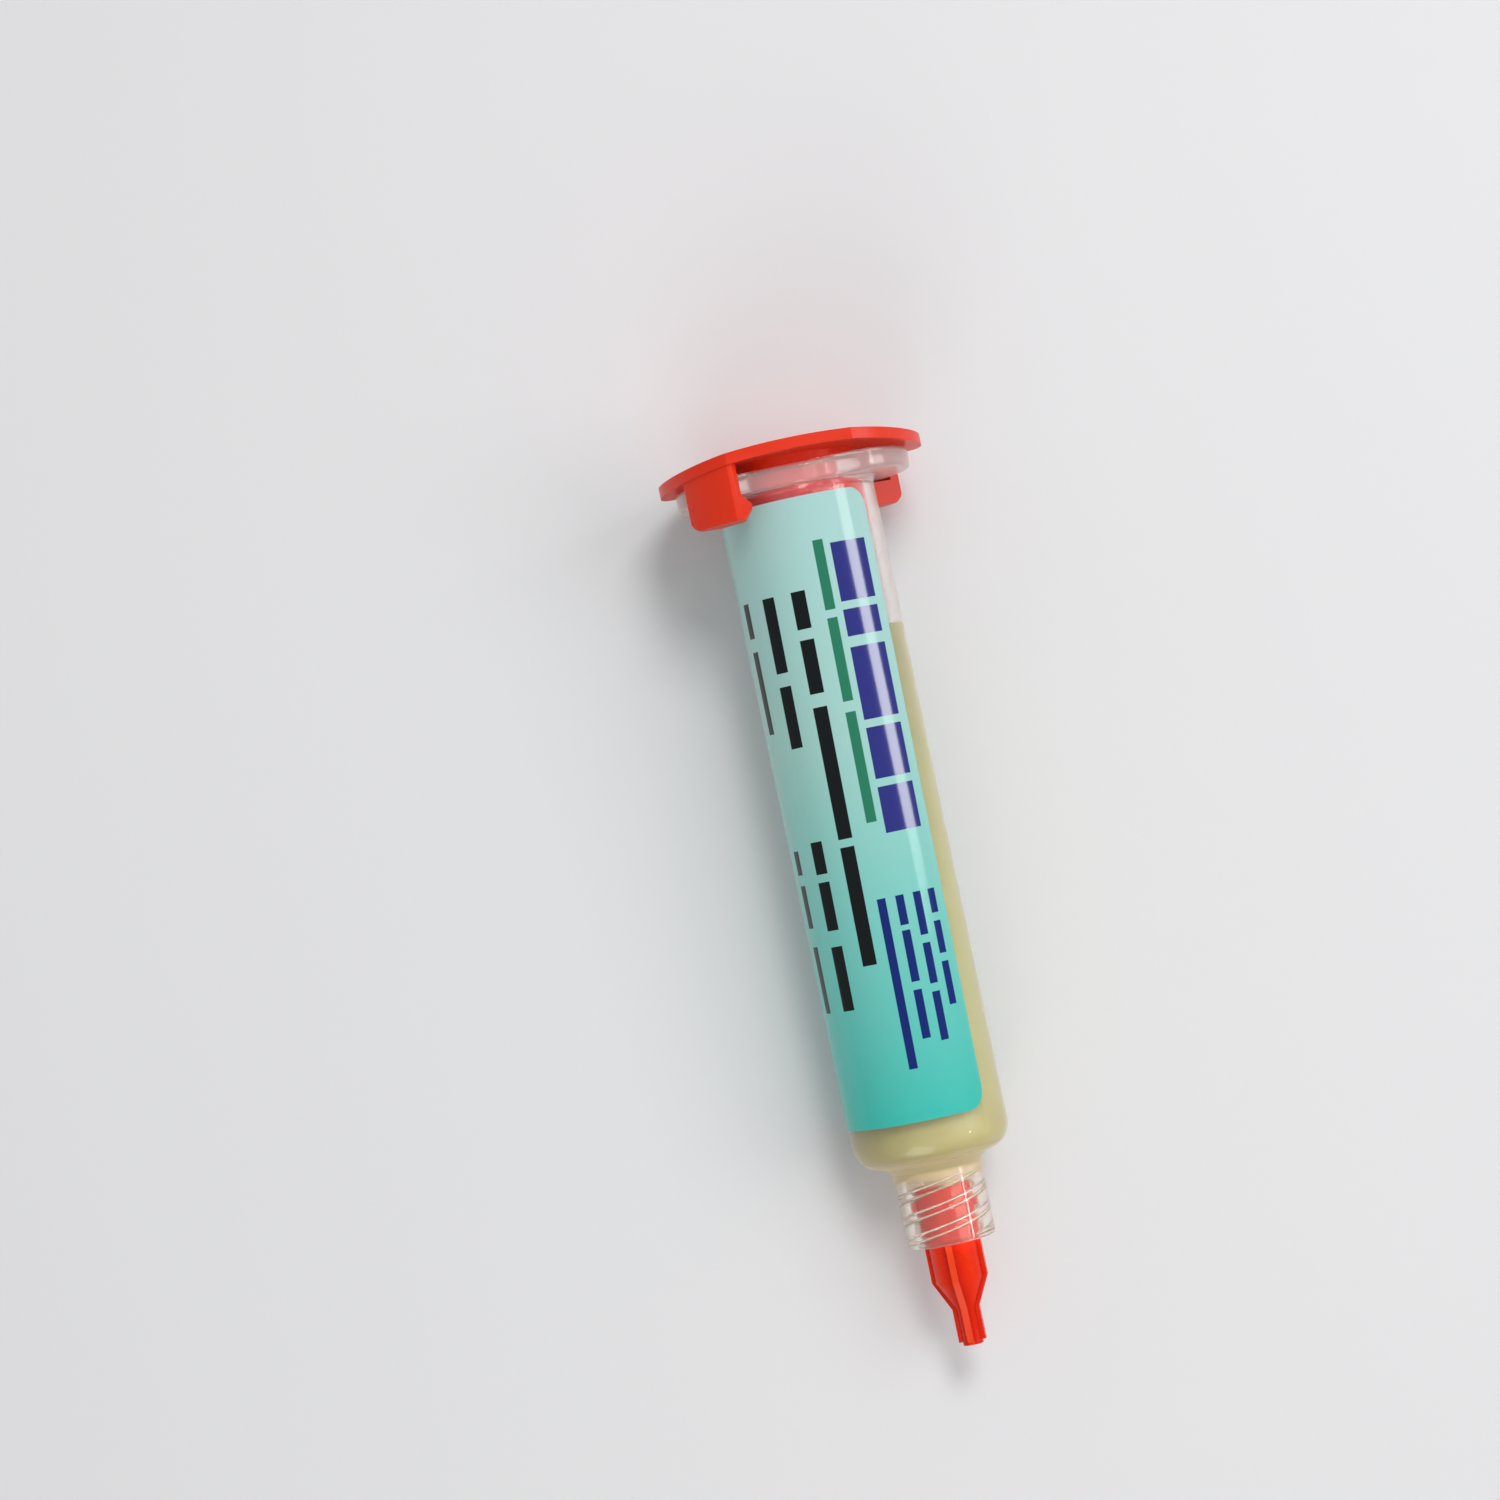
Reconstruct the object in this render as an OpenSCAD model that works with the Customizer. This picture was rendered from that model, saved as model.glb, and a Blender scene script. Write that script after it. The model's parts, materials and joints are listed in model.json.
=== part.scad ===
// Prefilled 10 cc flux syringe: a clear moulded barrel with a lock collar round
// its nozzle, a wrap label, the flux paste inside it, a bayonet end cap in the
// mouth and a ribbed tip cap on the nozzle.
//
// Each piece is drawn standing on the barrel's own axis: z = 0 is the top of the
// finger flange, the end cap is above it and the nozzle points down. laid() then
// puts them on their side as the syringe rests: +Y towards the end cap, +Z up,
// with the origin on the ground in the middle of the whole syringe.

/* [Barrel] */
// Outer diameter of the tube
barrel_d = 18.4; // [18:0.1:19]
// Bore of the tube
bore_d = 15.9; // [15.5:0.1:16.2]
// Length from the flange top to where the shoulder starts to curve
tube_len = 78.6; // [78:0.1:88]
// Rounding of the shoulder
shoulder_round = 3; // [1.5:0.1:3.2]
// Drop of the shallow cone between the rounding and the collar
shoulder_drop = 0.9; // [0.5:0.1:1.2]

/* [Finger flange] */
// Diameter across the two ears
flange_d = 27.5; // [27:0.1:27.7]
// Distance across the two flats
flange_flats = 21.4; // [21:0.1:21.6]
// Thickness
flange_t = 2.4; // [2.2:0.1:2.5]

/* [Nozzle and lock collar] */
// Outer diameter of the collar where it leaves the shoulder
collar_d = 10.6; // [10.2:0.1:11]
// Outer diameter of the collar at its mouth
collar_mouth_d = 10.3; // [10:0.1:10.6]
// Distance from the flange top to the collar's mouth
collar_mouth_z = 91.3; // [90.8:0.05:92.5]
// Depth of the collar's cavity
collar_depth = 8.6; // [7:0.1:8.7]
// Thread diameter at the crests of its two starts
thread_crest_d = 7.0; // [6.9:0.05:7.1]
// Thread diameter at the roots
thread_root_d = 8.0; // [7.9:0.05:8.2]
// Advance of the two-start thread in one turn
thread_lead = 5.0; // [4.8:0.1:5.2]
// Axial width of one thread ridge
thread_ridge = 0.8; // [0.6:0.1:1]
// Turn at which the first start leaves the collar's mouth, in degrees
thread_start = 49; // [0:1:180]
// Diameter of the nozzle at its free end
nozzle_tip_d = 3.96; // [3.9:0.02:4]
// How far the nozzle stands out of the collar
nozzle_reach = 2.1; // [2:0.1:2.4]
// Diameter of the passage through the nozzle
passage_d = 2.4; // [2:0.1:2.6]

/* [Label] */
// Distance from the flange top to the label
label_top = 3.75; // [3.6:0.05:4.5]
// Length along the barrel
label_len = 72.6; // [70:0.1:73]
// Film thickness
label_t = 0.08; // [0.06:0.01:0.1]
// Part of a turn that it covers, in degrees
label_wrap = 270; // [200:5:330]
// Turn of its straight edge from straight up towards +X, in degrees
label_edge = 50; // [30:1:70]
// Corner radius
label_corner = 2.3; // [1:0.1:3]

/* [Flux] */
// Distance from the flange top to the paste
flux_top = 19.5; // [18:0.5:40]

/* [End cap] */
// Diameter of the cap plate across its ends
cap_d = 31; // [30.8:0.1:31.4]
// Width of the cap plate across its flats
cap_flats = 27.4; // [27.2:0.1:28]
// Thickness of the cap plate
cap_t = 1.3; // [1.2:0.1:1.6]
// Radius of the arch that the plate bows up into
cap_arch_r = 80; // [55:1:100]
// Depth of the plug in the bore
plug_depth = 8.5; // [7:0.5:10]
// Wall of the hollow plug
plug_wall = 1.2; // [1:0.1:1.5]
// Turn of the end of a hook that the flange enters by, from the ear, in degrees
hook_start = 34; // [27:1:38]
// Turn of the end of a hook that stops against the flat, in degrees
hook_stop = 63; // [62:1:64]
// How much further the lip of a hook runs past the stop, in degrees
lip_run_on = 5; // [4:1:8]
// Thickness of the lip below the flange
lip_t = 2.75; // [2.4:0.05:3]
// Thickness left at the rounded nose of the lip
lip_nose = 1.3; // [1:0.1:1.6]
// Rounding of the hook's other lower corner
hook_round = 1.2; // [0.8:0.1:1.6]

/* [Tip cap] */
// Diameter of the hub that sits in the collar
hub_d = 6.7; // [6.5:0.05:6.75]
// Diameter across the ribs of the part below the collar
grip_d = 6.6; // [6.4:0.1:6.7]
// Length of the part below the collar
grip_len = 4.5; // [4:0.1:5]
// Length of the taper between it and the stem
taper_len = 3.4; // [3:0.1:4]
// Diameter across the ribs of the stem
stem_d = 3.2; // [3:0.1:3.4]
// Length of the stem
stem_len = 4.3; // [4:0.1:5]
// Width of each of the four ribs
rib_w = 0.8; // [0.6:0.05:1]
// Height of each rib
rib_h = 0.4; // [0.2:0.05:0.45]

/* [Hidden] */
$fn = 96;
eps = 0.05;

// Running clearance of the plug in the bore and of the tip cap on the nozzle
fit_gap = 0.05;
// Room round the flange inside the hooks, and under the cap plate at the ears
hook_gap = 0.25;
ear_gap = 0.15;
// Film of air that keeps the paste and the label off the barrel's own faces
skin_gap = 0.01;

barrel_r = barrel_d / 2;
bore_r = bore_d / 2;
flange_r = flange_d / 2;
wall = barrel_r - bore_r;

// Shoulder: quarter round, then a shallow cone in to the collar
shoulder_r = barrel_r - shoulder_round;
cone_z = -tube_len - shoulder_round;
collar_z = cone_z - shoulder_drop;
floor_r = bore_r - shoulder_round + wall / 2;
floor_round = bore_r - floor_r;

// Label: flat spans between its rounded corners, few enough to keep clear of the tube
label_spans = 48;
corner_turn = label_corner / barrel_r * 180 / PI;

// Nozzle: the standard cone narrows by 6 mm in 100 mm of its length
cone_rate = 0.03;
collar_floor_z = -collar_mouth_z + collar_depth;
nozzle_end_z = -collar_mouth_z - nozzle_reach;
function nozzle_r(z) = nozzle_tip_d / 2 + cone_rate * (z - nozzle_end_z);

// End cap: the plate's underside clears the flange by ear_gap at the ears
cap_r = cap_d / 2;
cap_under_z = ear_gap + cap_arch_r - sqrt(pow(cap_arch_r, 2) - pow(flange_r, 2));
cap_top_z = cap_under_z + cap_t;
arch_z = cap_under_z - cap_arch_r;
hook_r = flange_r + hook_gap;
hook_outer_r = cap_r - 0.3;
hook_outer_y = cap_flats / 2 - 0.4;
lip_top_z = -flange_t - hook_gap;
lip_z = lip_top_z - lip_t;
// The lip is cut along the line that a flat of the flange takes once the cap is free
free_turn = 45;
lip_inner = flange_flats / 2 + hook_gap;

// Tip cap
hub_top_z = collar_floor_z - 1.8;
grip_z = -collar_mouth_z - grip_len;
taper_z = grip_z - taper_len;
stem_end_z = taper_z - stem_len;
grip_r = grip_d / 2 - rib_h;
stem_r = stem_d / 2 - rib_h;
socket_end_z = nozzle_end_z - 0.5;
rib_roll = 12;

// Resting place: the plate's flat and the shoulder's rounding touch the ground
flat_half = sqrt(pow(cap_r, 2) - pow(cap_flats / 2, 2));
flat_z = arch_z + sqrt(pow(cap_arch_r, 2) - pow(flat_half, 2));
rest_run = flat_z + tube_len;
rest_rise = cap_flats / 2 - shoulder_r;
rest_tilt = atan(rest_rise / rest_run) - asin(shoulder_round / norm([rest_run, rest_rise]));
axis_height = cap_flats / 2 * cos(rest_tilt) - flat_z * sin(rest_tilt);
reach_cap = cap_top_z * cos(rest_tilt) + cap_flats / 2 * sin(rest_tilt);
reach_tip = -stem_end_z * cos(rest_tilt) + stem_r * sin(rest_tilt);
mid_shift = (reach_tip - reach_cap) / 2;

module laid() {
    translate([0, mid_shift, axis_height]) rotate([rest_tilt - 90, 0, 0]) children();
}

// Cylinder from z0 up to z1, of radius r0 at z0 and r1 at z1
module round_bar(r0, r1, z0, z1) {
    translate([0, 0, z0]) cylinder(h = z1 - z0, r1 = r0, r2 = r1);
}

// Pie slice of the plane between two directions, less than half a turn apart
module slice(from, to, reach) {
    polygon([[0, 0], reach * [cos(from), sin(from)],
             reach * [cos((from + to) / 2), sin((from + to) / 2)], reach * [cos(to), sin(to)]]);
}

// Half outline of a round-bottomed tube: out along the mouth, down and in to the axis
function tube_outline(r, top, z, round, end_r, end_z) = concat(
    [[0, top], [r, top]],
    [for (a = [0 : 7.5 : 90]) [r - round + round * cos(a), z - round * sin(a)]],
    [[end_r, end_z], [0, end_z]]);

module flange() {
    edge = 0.5;
    intersection() {
        rotate_extrude() polygon(concat(
            [[0, -flange_t], [flange_r - edge, -flange_t]],
            [for (a = [-60 : 30 : 60]) [flange_r - edge + edge * cos(a), -flange_t / 2
                + sign(a) * (flange_t / 2 - edge) + edge * sin(a)]],
            [[flange_r - edge, 0], [0, 0]]));
        translate([-flange_r, -flange_flats / 2, -flange_t]) cube([flange_d, flange_flats, flange_t]);
    }
}

// The two starts of the lock thread, as ridges on the collar's inner wall
module lock_thread() {
    ridge_turn = 360 * thread_ridge / thread_lead;
    lead_in = 0.6;
    run = collar_depth - lead_in - 0.1;
    translate([0, 0, -collar_mouth_z + lead_in])
        linear_extrude(height = run, twist = -360 * run / thread_lead, slices = 44, segments = 6, $fn = 0)
            for (start = [0, 180]) rotate(thread_start + start) polygon(concat(
                [for (a = ridge_turn * [0, 0.5, 1]) (thread_root_d / 2 + 0.3) * [cos(a), sin(a)]],
                [for (a = ridge_turn * [0.8, 0.5, 0.2]) thread_crest_d / 2 * [cos(a), sin(a)]]));
}

module barrel() {
    color([0.86, 0.87, 0.84, 0.45]) laid() {
        difference() {
            union() {
                flange();
                rotate_extrude() polygon(tube_outline(
                    barrel_r, -flange_t / 2, -tube_len, shoulder_round, collar_d / 2, collar_z));
                round_bar(barrel_r, barrel_r + 0.8, -flange_t - 0.8, -flange_t);
                round_bar(collar_mouth_d / 2, collar_d / 2, -collar_mouth_z, collar_z);
            }
            rotate_extrude() polygon(tube_outline(
                bore_r, eps, -tube_len, floor_round, passage_d / 2, collar_z + 0.4));
            round_bar(bore_r, bore_r + 0.5, -0.5, 0);
            round_bar(thread_root_d / 2, thread_root_d / 2, -collar_mouth_z - eps, collar_floor_z);
            round_bar(passage_d / 2, passage_d / 2, collar_floor_z - 1, collar_z + 1);
        }
        difference() {
            round_bar(nozzle_tip_d / 2, nozzle_r(collar_floor_z + 0.5), nozzle_end_z, collar_floor_z + 0.5);
            round_bar(passage_d / 2, passage_d / 2, nozzle_end_z - 1, collar_floor_z + 1);
        }
        lock_thread();
    }
}

// Turn from the label's first edge at each of its columns, closer together at the corners
function label_turns() = concat(
    [for (a = [0 : 15 : 75]) corner_turn * (1 - cos(a))],
    [for (i = [0 : label_spans]) corner_turn + i * (label_wrap - 2 * corner_turn) / label_spans],
    [for (a = [75 : -15 : 0]) label_wrap - corner_turn * (1 - cos(a))]);

// How far the rounding of the corners takes the ends of a column in
function corner_drop(turn) = let (inset = min(turn, label_wrap - turn))
    inset >= corner_turn ? 0 : label_corner * (1 - sin(acos(1 - inset / corner_turn)));

// The film as a ring of columns, each with its inner and outer corner at both ends
module label() {
    inner_r = barrel_r + 2 * skin_gap;
    outer_r = barrel_r + label_t;
    turn_from = -90 + label_edge - label_wrap;
    turns = label_turns();
    last = len(turns) - 1;
    color([0.45, 0.85, 0.78]) laid() polyhedron(
        points = [
            for (turn = turns)
                let (drop = corner_drop(turn), low = drop - label_top - label_len, high = -label_top - drop)
                for (rz = [[inner_r, low], [outer_r, low], [outer_r, high], [inner_r, high]])
                    [rz[0] * cos(turn_from + turn), rz[0] * sin(turn_from + turn), rz[1]]],
        faces = concat(
            [[0, 3, 2, 1], [for (k = [0 : 3]) 4 * last + k]],
            [for (i = [0 : last - 1], k = [0 : 3])
                [4 * i + k, 4 * i + (k + 1) % 4, 4 * i + 4 + (k + 1) % 4, 4 * i + 4 + k]]));
}

module flux() {
    paste_r = bore_r - skin_gap;
    core_r = passage_d / 2 - skin_gap;
    color([0.9, 0.86, 0.6]) laid() {
        rotate_extrude() polygon(tube_outline(
            paste_r, -flux_top, -tube_len, floor_round, core_r, collar_z + 0.4 + skin_gap));
        round_bar(core_r, core_r, nozzle_end_z + 0.3, collar_z + 1);
    }
}

// Plan of the cap plate: a disc with two flats
module cap_plan(r, half_width) {
    intersection() {
        circle(r);
        square([2 * r, 2 * half_width], center = true);
    }
}

// The hook at the -X, -Y side: outer wall, stop against the flat, and lip under the flange
module hook() {
    wall_from = 180 + hook_start;
    wall_to = 180 + hook_stop;
    lip_to = wall_to + lip_run_on;
    intersection() {
        translate([0, 0, lip_z]) {
            linear_extrude(cap_top_z - lip_z) intersection() {
                difference() {
                    cap_plan(hook_outer_r, hook_outer_y);
                    circle(hook_r);
                }
                slice(wall_from, wall_to, 2 * cap_r);
            }
            linear_extrude(cap_top_z - lip_z) intersection() {
                cap_plan(hook_outer_r, hook_outer_y);
                slice(wall_to - 7, wall_to, 2 * cap_r);
                translate([-cap_r, -cap_r]) square([cap_r, cap_r - lip_inner]);
            }
            linear_extrude(lip_t) intersection() {
                cap_plan(hook_outer_r, hook_outer_y);
                slice(wall_from, lip_to, 2 * cap_r);
                rotate(270 - free_turn) translate([lip_inner, -cap_r]) square(2 * cap_r);
            }
        }
        hook_side();
    }
}

// Side outline of a hook: rounded lower corner, and the lip tapering to its rounded nose
module hook_side() {
    start_x = -hook_outer_r * cos(hook_start);
    nose_r = lip_nose / 2;
    nose_x = -hook_outer_y / tan(hook_stop + lip_run_on) - nose_r;
    nose_h = lip_t / 2;
    wall_x = -hook_r * cos(hook_stop);
    translate([0, 0, lip_z]) rotate([90, 0, 0]) linear_extrude(2 * cap_r) polygon(concat(
        [[start_x, cap_top_z - lip_z]],
        [for (a = [0 : 15 : 90]) [start_x + hook_round * (1 - cos(a)), hook_round * (1 - sin(a))]],
        [[wall_x, 0]],
        [for (a = [-60 : 20 : 60]) [nose_x + nose_r * cos(a), nose_h + nose_r * sin(a)]],
        [[wall_x, lip_t], [wall_x, cap_top_z - lip_z]]));
}

// Everything below the arch of radius r, which bows up across X
module under_arch(r) {
    translate([0, cap_r, arch_z]) rotate([90, 0, 0]) cylinder(h = cap_d, r = r, $fn = 180);
}

module end_cap() {
    plug_r = bore_r - fit_gap;
    color([0.88, 0.25, 0.12]) laid() {
        difference() {
            intersection() {
                translate([0, 0, -cap_t]) linear_extrude(cap_top_z + 2 * cap_t)
                    cap_plan(cap_r, cap_flats / 2);
                under_arch(cap_arch_r + cap_t);
            }
            under_arch(cap_arch_r);
        }
        intersection() {
            for (turn = [0, 180]) rotate([0, 0, turn]) hook();
            under_arch(cap_arch_r + cap_t / 2);
        }
        intersection() {
            difference() {
                union() {
                    round_bar(plug_r, plug_r, -plug_depth + 0.6, cap_top_z);
                    round_bar(plug_r - 0.5, plug_r, -plug_depth, -plug_depth + 0.6);
                }
                round_bar(plug_r - plug_wall, plug_r - plug_wall, -plug_depth - eps, cap_under_z);
            }
            under_arch(cap_arch_r + cap_t / 2);
        }
    }
}

// One rib of the tip cap: a thin plate with the cap's own side outline
module tip_rib() {
    rotate([90, 0, 0]) translate([0, 0, -rib_w / 2]) linear_extrude(rib_w) polygon([
        [0, -collar_mouth_z], [grip_d / 2, -collar_mouth_z], [grip_d / 2, grip_z],
        [stem_d / 2, taper_z], [stem_d / 2, stem_end_z + 0.4], [0, stem_end_z + 0.4]]);
}

module tip_cap() {
    color([0.9, 0.22, 0.1]) laid() difference() {
        union() {
            rotate_extrude() polygon([
                [0, hub_top_z], [hub_d / 2 - 0.4, hub_top_z], [hub_d / 2, hub_top_z - 0.4],
                [hub_d / 2, -collar_mouth_z + 0.4], [grip_r, -collar_mouth_z],
                [grip_r, grip_z], [stem_r, taper_z], [stem_r, stem_end_z], [0, stem_end_z]]);
            for (turn = [0 : 90 : 270]) rotate([0, 0, turn - 90 - rib_roll]) tip_rib();
        }
        round_bar(nozzle_r(socket_end_z) + fit_gap, nozzle_r(hub_top_z + eps) + fit_gap,
            socket_end_z, hub_top_z + eps);
    }
}

barrel();
label();
flux();
end_cap();
tip_cap();
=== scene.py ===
"""Looks of a filled flux syringe lying on a pale floor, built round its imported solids."""

import json
import math

import bmesh
import bpy
import numpy as np
from mathutils import Matrix, Vector


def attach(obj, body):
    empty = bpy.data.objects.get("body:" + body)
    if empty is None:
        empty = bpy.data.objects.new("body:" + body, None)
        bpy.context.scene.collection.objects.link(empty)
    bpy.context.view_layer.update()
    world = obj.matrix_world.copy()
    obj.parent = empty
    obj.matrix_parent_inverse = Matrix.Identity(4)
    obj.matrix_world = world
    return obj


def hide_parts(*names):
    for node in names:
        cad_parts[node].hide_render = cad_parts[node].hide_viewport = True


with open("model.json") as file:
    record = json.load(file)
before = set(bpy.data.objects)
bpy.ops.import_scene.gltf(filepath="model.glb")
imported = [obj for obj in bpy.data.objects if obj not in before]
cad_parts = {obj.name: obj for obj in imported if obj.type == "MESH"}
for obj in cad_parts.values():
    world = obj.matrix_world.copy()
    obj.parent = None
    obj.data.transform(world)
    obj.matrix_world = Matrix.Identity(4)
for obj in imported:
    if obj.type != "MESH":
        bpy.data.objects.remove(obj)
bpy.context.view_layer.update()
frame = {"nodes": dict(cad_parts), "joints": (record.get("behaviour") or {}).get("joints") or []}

# Barrel: one moulding of natural polypropylene with its finger flange, nozzle and
# threaded lock collar. The wall is 1.25 mm thick, clear with a slight milky haze.
# It lies on its side and carries every other piece.

MM = 0.001
twist = next(joint for joint in frame["joints"] if joint["name"] == "end_cap_twist")
mouth = Vector(twist["pos_m"])
along = Vector(twist["axis"]).normalized()
across = Vector((1, 0, 0))
under = along.cross(across)

# Sizes in mm. Heights are 0 at the flange's top, which is the mouth, and negative below it.
tube_r, bore_r, mouth_bevel = 9.2, 7.95, 0.5
flange_r, flange_half, flange_t, flange_edge, flange_fillet, flat_blend = 13.75, 10.7, 2.4, 0.5, 0.9, 0.25
shoulder_r, shoulder_end, shoulder_round = 6.2, -81.6, 2.9
collar_r, collar_top, collar_mouth_r, collar_mouth, collar_floor = 5.3, -82.5, 5.15, -91.3, -82.7
groove_r, ridge_h, ridge_w, ridge_flank, ridge_run_in = 4.0, 0.5, 0.8, 0.24, 0.4
lead, thread_shift = 5.0, 0.77
ridge_gap = lead / 2
nozzle_root_r, nozzle_tip_r, nozzle_end = 2.3, 1.98, -93.4
passage_r, passage_top = 1.2, -82.1
floor_r, floor_z, floor_round = 5.575, -80.975, 2.3


def laid(x, y, z):
    """Points of the syringe's own frame, in mm, as it lies: the mouth plus x, y and z times its axes."""
    x, y, z = np.broadcast_arrays(x, y, z)
    axes = np.array([across, under, along]) * MM
    return np.array(mouth) + x[..., None] * axes[0] + y[..., None] * axes[1] + z[..., None] * axes[2]


def rounded(corners, closed=False, steps=6, margin=0.1):
    """Outline through corners (r, z, radius) as arcs: from where an arc starts, its points lie at radius
    times the sine of the turn ahead and radius times one less its cosine to the side. A point a margin off
    each end of an arc keeps the straight beyond it flat."""
    corner, radius = np.array(corners, float)[:, :2], np.array(corners, float)[:, 2]
    leg = np.roll(corner, -1, 0) - corner
    length = np.linalg.norm(leg, axis=1)
    ahead = leg / length[:, None]
    into = np.roll(ahead, 1, 0)
    bend = np.arctan2(into[:, 0] * ahead[:, 1] - into[:, 1] * ahead[:, 0], (into * ahead).sum(1))
    reach = radius * np.tan(abs(bend) / 2)
    side = np.sign(bend)[:, None] * np.stack([-into[:, 1], into[:, 0]], 1)
    angle = abs(bend)[:, None, None] * np.linspace(0, 1, steps + 1)[None, :, None]
    start = (corner - into * reach[:, None])[:, None]
    turned = np.sin(angle) * into[:, None] + (1 - np.cos(angle)) * side[:, None]
    arc = start + radius[:, None, None] * turned
    room = np.minimum(margin, 0.3 * (length - reach - np.roll(reach, -1)))[:, None]
    before = arc[:, 0] - into * np.roll(room, 1, 0)
    after = arc[:, -1] + ahead * room
    bends = np.concatenate([before[:, None], arc, after[:, None]], 1)
    if closed:
        return bends.reshape(-1, 2)
    return np.concatenate([corner[:1], bends[1:-1].reshape(-1, 2), corner[-1:]])


def linked(name, data):
    """A new object of the scene that holds a mesh, a lamp or a lens."""
    piece = bpy.data.objects.new(name, data)
    bpy.context.scene.collection.objects.link(piece)
    return piece


def skin(name, grid, wraps, poles=()):
    """A smooth mesh over a grid of points, each joined to the next along both directions of the grid, round
    to the first again where it wraps, and to one point in the middle of an end row that has a pole."""
    points = grid.reshape(-1, 3)
    ids = np.arange(len(points)).reshape(grid.shape[:2])
    ids = np.concatenate([ids, ids[:1]], 0) if wraps[0] else ids
    ids = np.concatenate([ids, ids[:, :1]], 1) if wraps[1] else ids
    faces = np.stack([ids[:-1, :-1], ids[1:, :-1], ids[1:, 1:], ids[:-1, 1:]], -1).reshape(-1, 4).tolist()
    for row in poles:
        tip = np.full(ids.shape[1] - 1, len(points))
        points = np.concatenate([points, grid[row].mean(0)[None]])
        order = [tip, ids[row, :-1], ids[row, 1:]] if row == 0 else [ids[row, :-1], tip, ids[row, 1:]]
        faces += np.stack(order, -1).tolist()
    mesh = bpy.data.meshes.new(name)
    mesh.from_pydata(points.tolist(), [], faces)
    mesh.shade_smooth()
    return linked(name, mesh)


class Wire:
    """A material's socket, on which arithmetic adds Math nodes."""

    def __init__(self, socket):
        self.socket = socket

    def node(self, kind, settings=None, sockets=None, output=0):
        """A new node of that kind: its settings first, then the values or links of its sockets."""
        tree = self.socket.id_data
        new = tree.nodes.new("ShaderNode" + kind)
        for name, value in (settings or {}).items():
            setattr(new, name, value)
        for name, value in (sockets or {}).items():
            if isinstance(value, Wire):
                tree.links.new(value.socket, new.inputs[name])
            else:
                new.inputs[name].default_value = value
        return Wire(new.outputs[output])

    def math(self, operation, *others):
        """A Math node's result from this value and the others."""
        return self.node("Math", {"operation": operation}, dict(enumerate((self, *others))))

    def __add__(self, other):
        return self.math("ADD", other)

    def __sub__(self, other):
        return self.math("SUBTRACT", other)

    def __mul__(self, other):
        return self.math("MULTIPLY", other)

    def __truediv__(self, other):
        return self.math("DIVIDE", other)

    def __rsub__(self, other):
        return self * -1 + other

    def __abs__(self):
        return self.math("ABSOLUTE")

    __radd__ = __add__
    __rmul__ = __mul__

    def from_mouth(self, axis):
        """How far these Object coordinates lie from the mouth along an axis, in mm."""
        reach = self.node("VectorMath", {"operation": "DOT_PRODUCT"}, {0: self, 1: tuple(axis)}, "Value")
        return (reach - axis.dot(mouth)) / MM

    def off_axis(self):
        """How far they lie from the syringe's axis, in mm: the root of their squares aside and below."""
        aside, below = self.from_mouth(across), self.from_mouth(under)
        return (aside * aside + below * below).math("SQRT")

    def noise(self, scale, detail=2.0):
        """Cloudy noise from 0 to 1, with scale patches to a metre."""
        return self.node("TexNoise", None, {"Vector": self, "Scale": scale, "Detail": detail})

    def spread(self, low, high, start=0.0, end=1.0):
        """This value, from start to end, spread from low to high and held there."""
        return self.node("MapRange", None, {"Value": self, "From Min": start, "From Max": end,
                                            "To Min": low, "To Max": high})

    def ramp(self, span, stops, steps=False):
        """Colour between stops of (value, colour) from 0 to a span, blended or held up to the next stop."""
        colour = self.node("ValToRGB", None, {"Fac": self / span})
        scale = colour.socket.node.color_ramp
        scale.interpolation = "CONSTANT" if steps else "LINEAR"
        for index, (at, shade) in enumerate(stops):
            stop = scale.elements[index] if index < 2 else scale.elements.new(at / span)
            stop.position, stop.color = at / span, shade
        return colour

    def blend(self, first, second):
        """Colour between first at 0 and second at 1 of this value."""
        return self.node("Mix", {"data_type": "RGBA"}, {0: self, 6: first, 7: second}, 2)

    def bumps(self, depth, strength):
        """Surface normal that this value raises by depth metres."""
        return self.node("Bump", None, {"Height": self, "Distance": depth, "Strength": strength})


def shade_of(red, green, blue):
    """Linear colour of a screen colour from 0 to 255: below 11 its 12.92th part, above it a 2.4th power."""
    screen = [value / 255 for value in (red, green, blue)]
    return tuple(v / 12.92 if v <= 0.04045 else ((v + 0.055) / 1.055) ** 2.4 for v in screen) + (1,)


def finish(name, **fixed):
    """A new material: its shader with the fixed values set, and its Object coordinates as a Wire."""
    material = bpy.data.materials.new(name)
    material.use_nodes = True
    shader = material.node_tree.nodes["Principled BSDF"]
    for socket, value in fixed.items():
        shader.inputs[socket.replace("_", " ")].default_value = value
    place = material.node_tree.nodes.new("ShaderNodeTexCoord")
    return material, shader, Wire(place.outputs["Object"])


def paint(shader, **wires):
    """Links wires to a shader's sockets by name."""
    for socket, wire in wires.items():
        shader.id_data.links.new(wire.socket, shader.inputs[socket.replace("_", " ")])


def stands_for(piece, node, body, material):
    """Puts a piece in a CAD node's place, on its body, in its finish."""
    piece.data.materials.clear()
    piece.data.materials.append(material)
    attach(piece, body)
    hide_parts(node)


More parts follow.
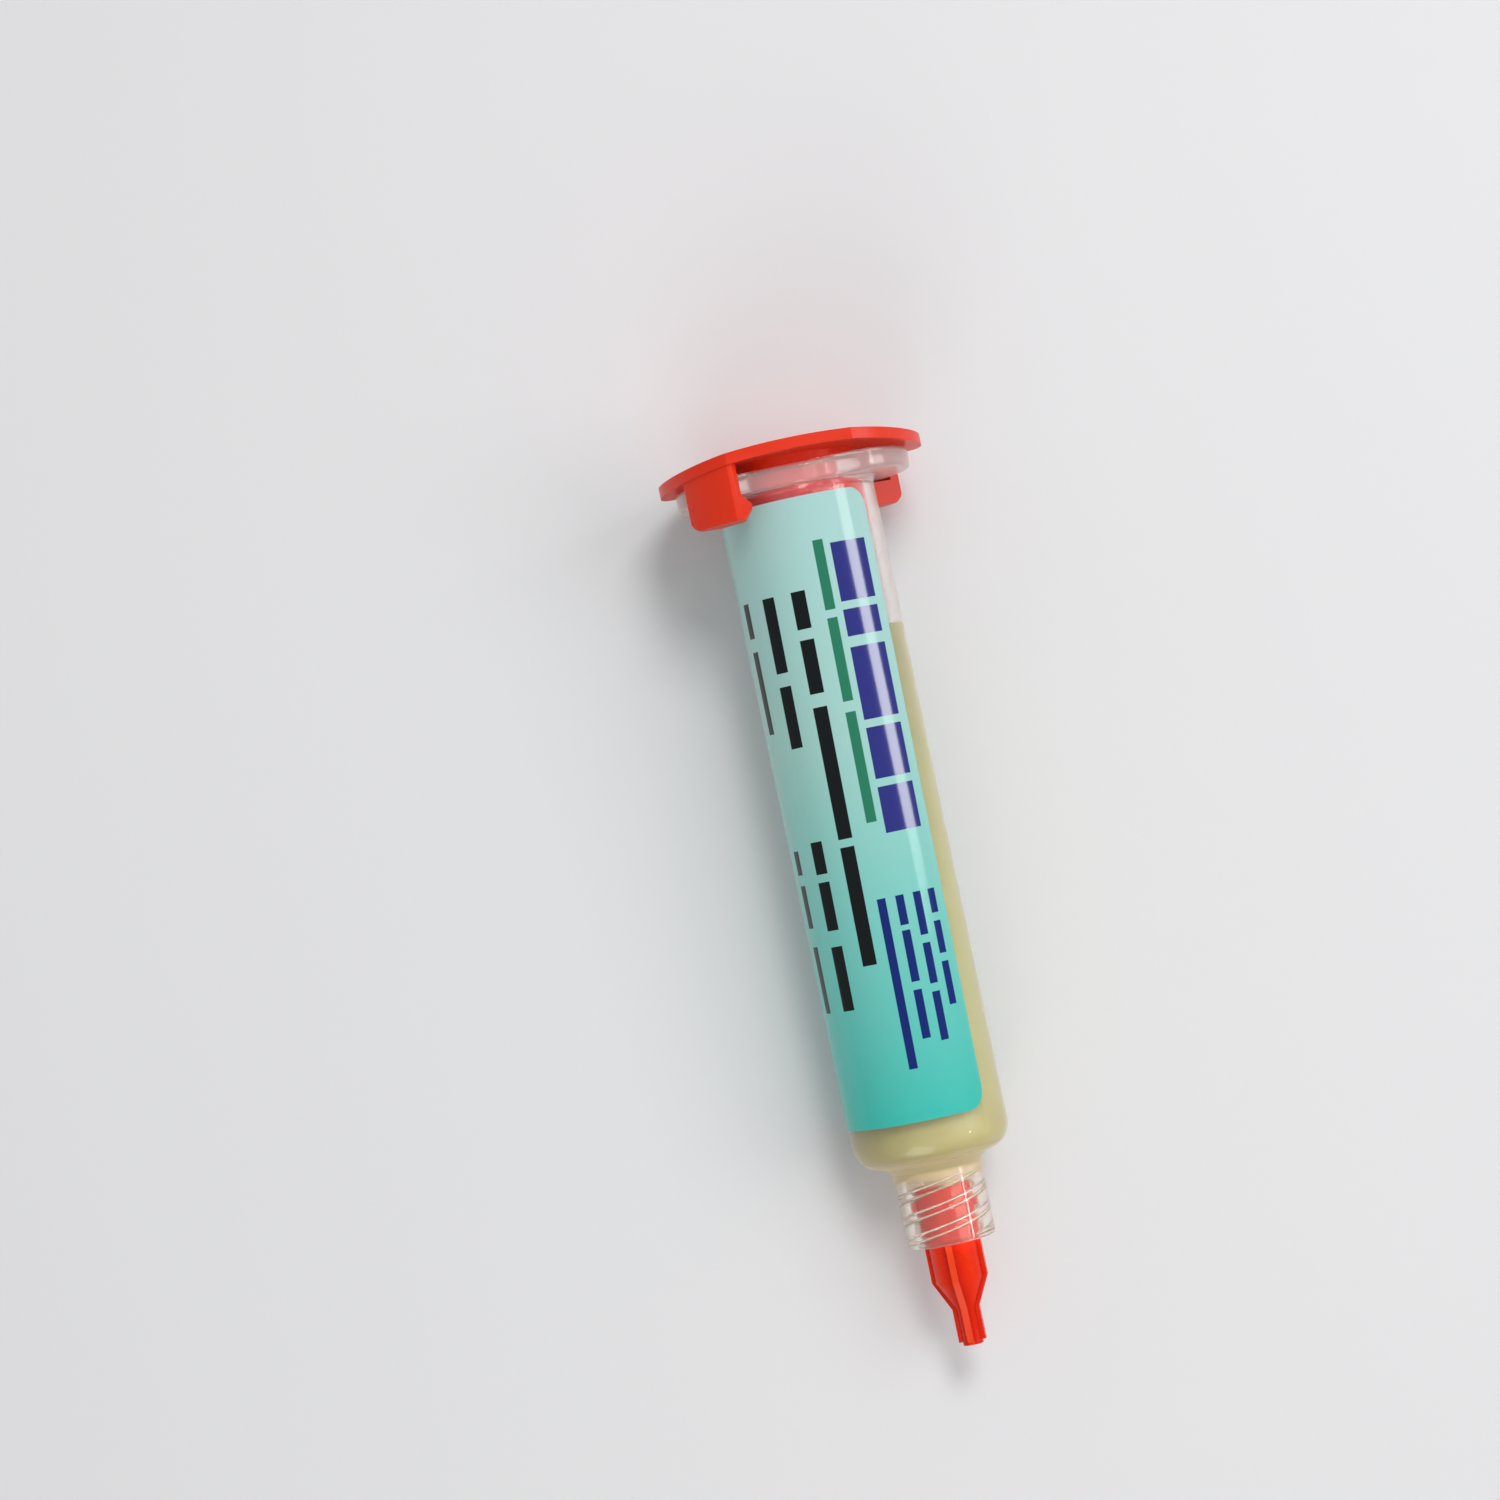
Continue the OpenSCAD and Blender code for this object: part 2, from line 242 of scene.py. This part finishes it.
outline = rounded([
    (bore_r + mouth_bevel, 0, 0.12), (flange_r, 0, flange_edge), (flange_r, -flange_t, flange_edge),
    (tube_r, -flange_t, flange_fillet), (tube_r, shoulder_end, shoulder_round),
    (shoulder_r, shoulder_end, 0.2), (collar_r, collar_top, 0.3), (collar_mouth_r, collar_mouth, 0.3),
    (groove_r, collar_mouth, 0.25), (groove_r, collar_floor, 0.3), (nozzle_root_r, collar_floor, 0.3),
    (nozzle_tip_r, nozzle_end, 0.15), (passage_r, nozzle_end, 0.1), (passage_r, passage_top, 0.3),
    (floor_r, floor_z, 0.1), (bore_r, floor_z, floor_round), (bore_r, -mouth_bevel, 0.15)], closed=True)
thread_row = np.flatnonzero(np.isclose(outline[:, 0], groove_r))[1]
thread_z = np.linspace(outline[thread_row, 1], outline[thread_row + 1, 1], 66)[1:-1]
outline = np.insert(outline, thread_row + 1, np.stack([0 * thread_z + groove_r, thread_z], 1), axis=0)

# The flange's rim is the softened lesser of its round and its two flats, and each of the
# two thread ridges rises from the groove where the height is near its helix's own.
turn = np.linspace(0, 2 * math.pi, 193)[:-1][None]
r, z = outline[:, :1], outline[:, 1:]
flat = flange_half / np.maximum(abs(np.sin(turn)), 0.1)
rim = -flat_blend * np.log(np.exp(-flange_r / flat_blend) + np.exp(-flat / flat_blend))
neck_r = tube_r + flange_fillet
drawn_in = (flange_r - rim) * np.clip((r - neck_r) / (flange_r - flange_edge - neck_r), 0, 1)
climb = z - collar_mouth - thread_shift - lead * turn / (2 * math.pi)
off_ridge = ridge_gap / 2 - abs(climb % ridge_gap - ridge_gap / 2)
on_ridge = np.clip((ridge_w / 2 + ridge_flank / 2 - off_ridge) / ridge_flank, 0, 1)
run_in = np.clip((z - collar_mouth - ridge_run_in) / ridge_run_in, 0, 1)
ridge = ridge_h * on_ridge ** 2 * (3 - 2 * on_ridge) * run_in * np.isclose(r, groove_r)
radius = r - drawn_in - ridge
barrel = skin("clear_barrel", laid(radius * np.cos(turn), radius * np.sin(turn), z), (True, True))

clear_plastic, shader, place = finish("clear_polypropylene", Transmission_Weight=0.98, IOR=1.49)
haze = place.noise(420.0, 3.0)
down, out = place.from_mouth(-along), place.off_axis()
# The plastic's own faint tone, with painted light from the red caps: pink near the flange, fading out by 30
# mm down.
tone_and_cap_light = down.ramp(100, [
    (2, (0.97, 0.87, 0.85, 1)), (18, (0.96, 0.91, 0.89, 1)), (30, (0.95, 0.955, 0.94, 1)),
    (80, (0.95, 0.95, 0.92, 1)), (84, (0.99, 0.91, 0.82, 1))])
paint(shader,
      Base_Color=(haze * 0.5).blend(tone_and_cap_light, (0.9, 0.89, 0.87, 1)),
      Roughness=haze.spread(0.05, 0.14),
      Normal=place.noise(900.0).bumps(0.00001, 0.2))

# The plastic turns milky where much of it lies in the line of sight: in the flange, on the flanks of the
# thread, in the web between the tube and the collar, and on every wall that is seen edge on. The milk's tint
# is painted light from what stands behind it: pink in the flange from the red caps, yellow in the web from
# the flux, cream elsewhere. It throws a pale shadow.
flank_r, flank_fade = groove_r - ridge_h / 2, 0.22
web_starts, web_ends = (80.4, 81.4), (82.6, 84.6)
on_flank = (1 - abs(out - flank_r) / flank_fade).spread(0, 0.55)
in_web = down.spread(0, 0.5, *web_starts) * down.spread(1, 0, *web_ends)
edge_on = place.node("LayerWeight", None, {"Blend": 0.5}, "Facing")
milkiness = out.spread(0.02, 0.3, 9.4, 10.6) + on_flank + in_web + edge_on * edge_on * edge_on * 0.35
# Painted light in the milk: pink from the red caps at the flange, yellow from the flux in the web.
milk_tint_and_painted_light = down.ramp(100, [
    (2, (0.94, 0.67, 0.65, 1)), (5, (0.93, 0.82, 0.74, 1)), (80, (0.93, 0.8, 0.6, 1)),
    (81.5, (0.8, 0.66, 0.36, 1)), (82.5, (0.8, 0.66, 0.36, 1)), (85, (0.95, 0.78, 0.66, 1))])
milk = place.node("BsdfPrincipled", None, {"Base Color": milk_tint_and_painted_light, "Roughness": 0.4, "IOR": 1.49})
plastic = place.node("MixShader", None, {0: milkiness, 1: Wire(shader.outputs[0]), 2: milk})
clear = place.node("BsdfTransparent", None, {"Color": (0.93, 0.935, 0.925, 1)})
in_shadow = place.node("LightPath", output="Is Shadow Ray")
surface = place.node("MixShader", None, {0: in_shadow, 1: plastic, 2: clear})
shader.id_data.links.new(surface.socket, shader.id_data.nodes["Material Output"].inputs["Surface"])
stands_for(barrel, "barrel", "syringe_barrel", clear_plastic)

# Flux: a pale yellow gel that fills the tube from a fifth of the way down to the end
# of the nozzle. It wets the wall with no film of air, and climbs a little at its top.

wetting = 0.03
flux_r, flux_top, flux_rim, flux_end, flux_end_r = bore_r + wetting, -19.5, -19.8, nozzle_end + 0.3, 0.3
top_dip, top_climb, top_waves = 0.75, 0.6, 0.16
column = rounded([
    (flux_r, flux_rim, 0.1), (flux_r, floor_z - wetting, floor_round), (floor_r, floor_z - wetting, 0.1),
    (passage_r + wetting, passage_top - wetting, 0.3), (passage_r + wetting, flux_end, 0.1),
    (flux_end_r, flux_end, 0.1)])

# The top dips in the middle, climbs with the 6th power of the way out to the wall, and
# has three and five waves round it that grow with the square of that way.
way_out = np.linspace(0.04, 0.97, 16)[:, None]
waves = top_waves * way_out ** 2 * (np.sin(3 * turn + 1) + np.sin(5 * turn))
top_z = flux_top - top_dip + top_climb * way_out ** 6 + waves
top_cap = laid(flux_r * way_out * np.cos(turn), flux_r * way_out * np.sin(turn), top_z)
r, z = column[:, :1], column[:, 1:]
wall = laid(r * np.cos(turn), r * np.sin(turn), z)
flux = skin("flux_paste", np.concatenate([top_cap, wall]), (False, True), (0, -1))

paste, shader, place = finish(
    "flux_paste", Subsurface_Weight=0.6, Subsurface_Scale=0.006, Subsurface_Radius=(1.0, 0.8, 0.35), IOR=1.5)
cloud = place.noise(260.0)
# Painted shade: from 68 to 80 mm down the gel turns a darker, warmer yellow, dimming the shoulder that the
# lamps light strongly.
shoulder_shade = place.from_mouth(-along).spread(0, 1, 68, 80)
gel = shoulder_shade.blend(shade_of(180, 178, 122), shade_of(180, 168, 110))
paint(shader,
      Base_Color=(cloud * 0.6).blend(gel, shade_of(194, 190, 138)),
      Roughness=cloud.spread(0.25, 0.4))
stands_for(flux, "flux", "syringe_barrel", paste)

# Label: printed film wrapped three quarters round the tube, mint at the flange end and
# teal at the nozzle end, stuck on a little askew. Its print is plain bars in navy, black
# and green where words would stand, and one row of larger fields in a shiny navy foil.

# Sizes in mm, and the first edge, the wrap and the skew as turns.
film_in, film_out = 9.22, 9.28
label_top, label_end, label_corner = -3.75, -76.35, 2.3
label_from, label_wrap = -220.0, 270.0
label_middle = (label_top + label_end) / 2
skew = math.radians(0.9)


def film_points(radius, turns, heights):
    """Film at one radius: each column runs from end to end, less the rounding of the corners, which takes a
    column in by the corner's radius less the sine of how far round the corner it stands. The film leans
    round the tube by the skew's tangent times the height over its middle."""
    arc = np.radians(turns) * tube_r
    inset = np.minimum(np.minimum(arc, math.radians(label_wrap) * tube_r - arc) / label_corner, 1)
    drop = label_corner * (1 - np.sqrt(1 - (1 - inset) ** 2))
    z = (label_top - drop)[None] + heights[:, None] * (label_end - label_top + 2 * drop)[None]
    bearing = np.radians(label_from + turns)[None] + (z - label_middle) * math.tan(skew) / tube_r
    return laid(radius * np.sin(bearing), -radius * np.cos(bearing), z)


corner_turn = math.degrees(label_corner / tube_r)
ease = corner_turn * (1 - np.cos(np.radians(np.arange(0, 90, 9))))
between = np.linspace(corner_turn, label_wrap - corner_turn, 120)
turns = np.concatenate([ease, between, label_wrap - ease[::-1]])
heights = np.concatenate([[0, 0.001], np.linspace(0.02, 0.98, 24), [0.999, 1]])
outside = film_points(film_out, turns, heights)
inside = film_points(film_in, turns, heights)
label = skin("label_film", np.concatenate([outside, inside[::-1]]), (True, False))
label_mesh = bmesh.new()
label_mesh.from_mesh(label.data)
bmesh.ops.holes_fill(label_mesh, edges=[edge for edge in label_mesh.edges if edge.is_boundary], sides=0)
label_mesh.to_mesh(label.data)
label_mesh.free()
label.data.set_sharp_from_angle(angle=math.radians(40))

# Rows of bars in mm: how far right of straight up, height, and where each bar starts and ends.
foil_rows = [(5.0, 4.7, [(9.6, 16.4), (17.4, 20.6), (21.6, 30.2), (31.2, 37.0), (38.0, 43.4)])]
navy_rows = [
    (6.9, 1.0, [(50.6, 53.4), (54.2, 58.0), (58.8, 64.0)]),
    (4.9, 1.0, [(50.6, 55.6), (56.4, 61.2), (62.0, 67.6)]),
    (2.75, 1.0, [(50.6, 53.8), (54.6, 60.6), (61.4, 67.0)]),
    (0.6, 1.0, [(50.6, 70.2)])]
black_rows = [
    (-2.1, 1.7, [(14.2, 18.6), (19.8, 26.0), (27.6, 43.0), (44.0, 57.6)]),
    (-6.0, 1.7, [(14.2, 23.0), (24.6, 31.6), (42.8, 46.4), (47.4, 53.0), (55.0, 62.4)]),
    (-10.2, 1.3, [(14.2, 18.4), (19.8, 29.4), (43.2, 46.2), (47.2, 52.4), (54.4, 62.4)])]
green_rows = [(1.25, 1.2, [(8.8, 17.0), (18.0, 27.8), (28.8, 41.8)])]
# Half the blur of a bar's edge, and the length over which the mottle shifts the film's fade.
print_edge, fade_mottle = 0.03, 3.2

label_film, shader, place = finish(
    "label_film", IOR=1.5, Specular_IOR_Level=0.3, Coat_IOR=1.65, Coat_Roughness=0.13)
down = place.from_mouth(-along)
arc = place.from_mouth(across).math("ARCTAN2", place.from_mouth(-under)) * film_out
askew = arc + down * math.tan(skew)


def bar_row(middle, height, bars):
    """Mask of a row: 1 where the arc is within half a height of its middle and the length is on a bar."""
    ends = [(edge, (on, on, on, 1)) for bar in bars for edge, on in zip(bar, (1.0, 0.0))]
    words = down.ramp(80, [(0, (0, 0, 0, 1)), *ends], steps=True)
    return words * (height / 2 - abs(askew - middle)).spread(0, 1, -print_edge, print_edge)


def printed(rows):
    """Mask of rows of bars: the sum of theirs, as no two rows meet."""
    return sum(bar_row(*row) for row in rows)


mottle = place.noise(900.0, 3.0)
inked = (down + (mottle - 0.5) * fade_mottle).ramp(80, [
    (6.4, shade_of(168, 211, 207)), (32, shade_of(161, 208, 200)), (52, shade_of(124, 202, 193)),
    (76, shade_of(64, 192, 179))])
foil = printed(foil_rows)
for mask, ink in (
        (printed(green_rows), shade_of(40, 122, 94)), (printed(black_rows), shade_of(10, 18, 18)),
        (printed(navy_rows), shade_of(14, 38, 112)), (foil, shade_of(0, 14, 122))):
    inked = mask.blend(inked, ink)
paint(shader,
      Base_Color=inked,
      Coat_Weight=foil,
      Roughness=mottle.spread(0.07, 0.12),
      Normal=place.noise(260.0).bumps(0.00003, 0.6))
stands_for(label, "label", "syringe_barrel", label_film)

# End cap: orange-red polyethylene, moulded in one with its two bayonet hooks and its
# hollow plug, satin, every edge a little rounded. It turns 45 degrees to come free.


def softened(node, width, edge_angle=math.radians(28)):
    """A copy of a CAD node, its triangles joined and its flats made whole, with rounded edges."""
    joined = bmesh.new()
    joined.from_mesh(frame["nodes"][node].data)
    bmesh.ops.remove_doubles(joined, verts=joined.verts, dist=2e-6)
    bmesh.ops.dissolve_limit(joined, angle_limit=math.radians(0.5), verts=joined.verts, edges=joined.edges)
    mesh = bpy.data.meshes.new(node)
    joined.to_mesh(mesh)
    joined.free()
    mesh.shade_smooth()
    mesh.set_sharp_from_angle(angle=edge_angle)
    piece = linked(node, mesh)
    edge = piece.modifiers.new("edge_rounding", "BEVEL")
    edge.width, edge.segments, edge.limit_method, edge.angle_limit = width * MM, 3, "ANGLE", edge_angle
    edge.harden_normals = True
    return piece


cap_plastic, shader, place = finish(
    "end_cap_polyethylene", IOR=1.5, Specular_IOR_Level=0.25, Subsurface_Weight=0.15, Subsurface_Scale=0.002)
swirl = place.noise(180.0, 3.0)
satin = swirl.blend(shade_of(224, 47, 16), shade_of(234, 55, 24))
# Painted shade: the plug, where it sits deep in the bore, is a deeper red.
past_mouth = place.from_mouth(-along).spread(0, 1, -0.5, 0.5)
bore_shade = past_mouth * place.off_axis().spread(1, 0, bore_r, bore_r + 0.25)
paint(shader,
      Base_Color=bore_shade.blend(satin, shade_of(200, 20, 24)),
      Roughness=swirl.spread(0.32, 0.42),
      Normal=place.noise(1500.0).bumps(0.00002, 0.2))
stands_for(softened("end_cap", 0.35), "end_cap", "end_cap_body", cap_plastic)

# Tip cap: orange-red polyethylene, glossier and brighter than the end cap. Its hub sits
# in the collar, held by two lugs between the thread's ridges, its socket closes the
# nozzle, and four ribs run down its grip and stem.

rib_roll = math.radians(12)
rib_axes = (across * math.cos(rib_roll) - under * math.sin(rib_roll),
            under * math.cos(rib_roll) + across * math.sin(rib_roll))
tip_plastic, shader, place = finish(
    "tip_cap_polyethylene", IOR=1.5, Specular_IOR_Level=0.2, Subsurface_Weight=0.15, Subsurface_Scale=0.002)
swirl = place.noise(220.0, 3.0)
off_one, off_other = [abs(place.from_mouth(axis)) for axis in rib_axes]
# Painted highlight and shade: each rib's top is lighter, with a dark band just beside it that lightens over
# 2 mm.
rib_highlight_and_shade = off_one.math("MINIMUM", off_other).ramp(4, [
    (0.34, shade_of(250, 76, 34)), (0.42, shade_of(206, 24, 0)), (1.2, shade_of(236, 42, 2)),
    (2.4, shade_of(246, 54, 10))])
grip = (swirl * 0.3).blend(rib_highlight_and_shade, shade_of(228, 34, 0))
# Painted shade: the hub, where it sits inside the collar, is a darker red.
collar_shade = place.from_mouth(-along).spread(0.85, 0, -collar_mouth - 0.1, -collar_mouth + 0.1)
paint(shader,
      Base_Color=collar_shade.blend(grip, shade_of(184, 32, 18)),
      Roughness=swirl.spread(0.22, 0.32))
stands_for(softened("tip_cap", 0.08), "tip_cap", "tip_cap_body", tip_plastic)

# Each lug follows the helix round a part of the hub. Its section is a circle squared up by
# the 0.6th power, times the root of one less the 6th power of the way out to the lug's end.
lug_z, lug_in, lug_out, lug_half = collar_mouth + thread_shift + 1.5 * ridge_gap, 3.0, 3.9, 0.6
lug_turn = math.radians(27)
swing = np.linspace(-1, 1, 17)[1:-1, None]
around = np.linspace(0, 2 * math.pi, 33)[:-1][None]
swell = (1 - swing ** 6) ** 0.5
high = np.sign(np.cos(around)) * abs(np.cos(around)) ** 0.6
wide = np.sign(np.sin(around)) * abs(np.sin(around)) ** 0.6
for side_name, start in (("right", 0.0), ("left", math.pi)):
    bearing = start + swing * lug_turn
    r = lug_in + (lug_out - lug_in) / 2 * (1 + high * swell)
    z = lug_z + lead * swing * lug_turn / (2 * math.pi) + lug_half * wide * swell
    points = laid(r * np.cos(bearing), r * np.sin(bearing), z)
    lug = skin("tip_cap_lug_" + side_name, points, (False, True), (0, -1))
    lug.data.materials.append(tip_plastic)
    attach(lug, "tip_cap_body")

# Floor: a plain pale sheet, matt, 3 m out to every side. The syringe lies on it with
# its end cap and the nozzle end of its tube.

floor_reach = 3.0
floor_corners = [(x * floor_reach, y * floor_reach, 0) for x, y in ((-1, -1), (1, -1), (1, 1), (-1, 1))]
floor_mesh = bpy.data.meshes.new("floor")
floor_mesh.from_pydata(floor_corners, [], [(0, 1, 2, 3)])
floor = linked("floor", floor_mesh)
floor_paint, shader, place = finish("floor_paint", Roughness=0.7, Specular_IOR_Level=0.1)
paint(shader, Base_Color=place.noise(3.0).blend(shade_of(224, 224, 226), shade_of(230, 230, 231)))
floor.data.materials.append(floor_paint)

# Light: an even grey sky, and soft lamps from over the end cap, from the right, without
# gloss, and from the nozzle's side. A long strip low on the right and a small lamp beside
# it give only gloss: a streak down the window and the foil, and one on the collar.

sky = bpy.data.worlds.new("sky")
sky.use_nodes = True
sky.node_tree.nodes["Background"].inputs["Color"].default_value = (1, 1, 1, 1)
sky.node_tree.nodes["Background"].inputs["Strength"].default_value = 0.4
bpy.context.scene.world = sky


def soft_lamp(name, watts, width, length, stand, aim):
    """A rectangular lamp at stand that faces aim."""
    data = bpy.data.lights.new(name, "AREA")
    data.shape, data.size, data.size_y, data.energy = "RECTANGLE", width, length, watts
    lamp = linked(name, data)
    lamp.visible_camera = False
    lamp.location = stand
    lamp.rotation_euler = (Vector(aim) - Vector(stand)).to_track_quat("-Z", "Y").to_euler()
    return lamp


soft_lamp("overhead_lamp", 2.3, 0.25, 0.25, (0.18, 0.36, 0.7), (0, 0, 0))
soft_lamp("side_lamp", 1.4, 0.4, 0.4, (0.45, 0.0, 0.5), (0, 0, 0)).visible_glossy = False
soft_lamp("fill_lamp", 0.8, 0.4, 0.4, (-0.2, -0.5, 0.42), (0, 0, 0))
soft_lamp("strip_lamp", 1.35, 0.42, 0.17, (0.48, 0.17, 0.25), (0, 0.02, 0.01)).visible_diffuse = False
soft_lamp("glint_lamp", 0.09, 0.05, 0.04, (0.42, -0.125, 0.27), (0, -0.04, 0.01)).visible_diffuse = False

# Camera: looks down on the syringe as the photograph does, with the nozzle end towards
# the lower right. The scale is that of the tube at its middle.

photo_px, px_per_mm = 1500, 8.6
middle_z, middle_px = -49.24, (877.6, 885.3)
roll, view_tilt, distance = math.radians(11.83), math.radians(4.4), 0.44
middle = mouth + along * middle_z * MM
sight = Vector((0, -math.sin(view_tilt), math.cos(view_tilt)))
level_up = Vector((0, math.cos(view_tilt), math.sin(view_tilt)))
right = across * math.cos(roll) - level_up * math.sin(roll)
up = across * math.sin(roll) + level_up * math.cos(roll)
right_of, below = [(px - photo_px / 2) * MM / px_per_mm for px in middle_px]
lens = bpy.data.cameras.new("camera")
lens.sensor_width = 36.0
lens.lens = lens.sensor_width * distance / (photo_px / px_per_mm * MM)
camera = linked("camera", lens)
camera.matrix_world = Matrix((right, up, sight)).transposed().to_4x4()
camera.location = middle - right * right_of + up * below + sight * distance
bpy.context.scene.camera = camera
bpy.context.scene.view_settings.view_transform = "Standard"
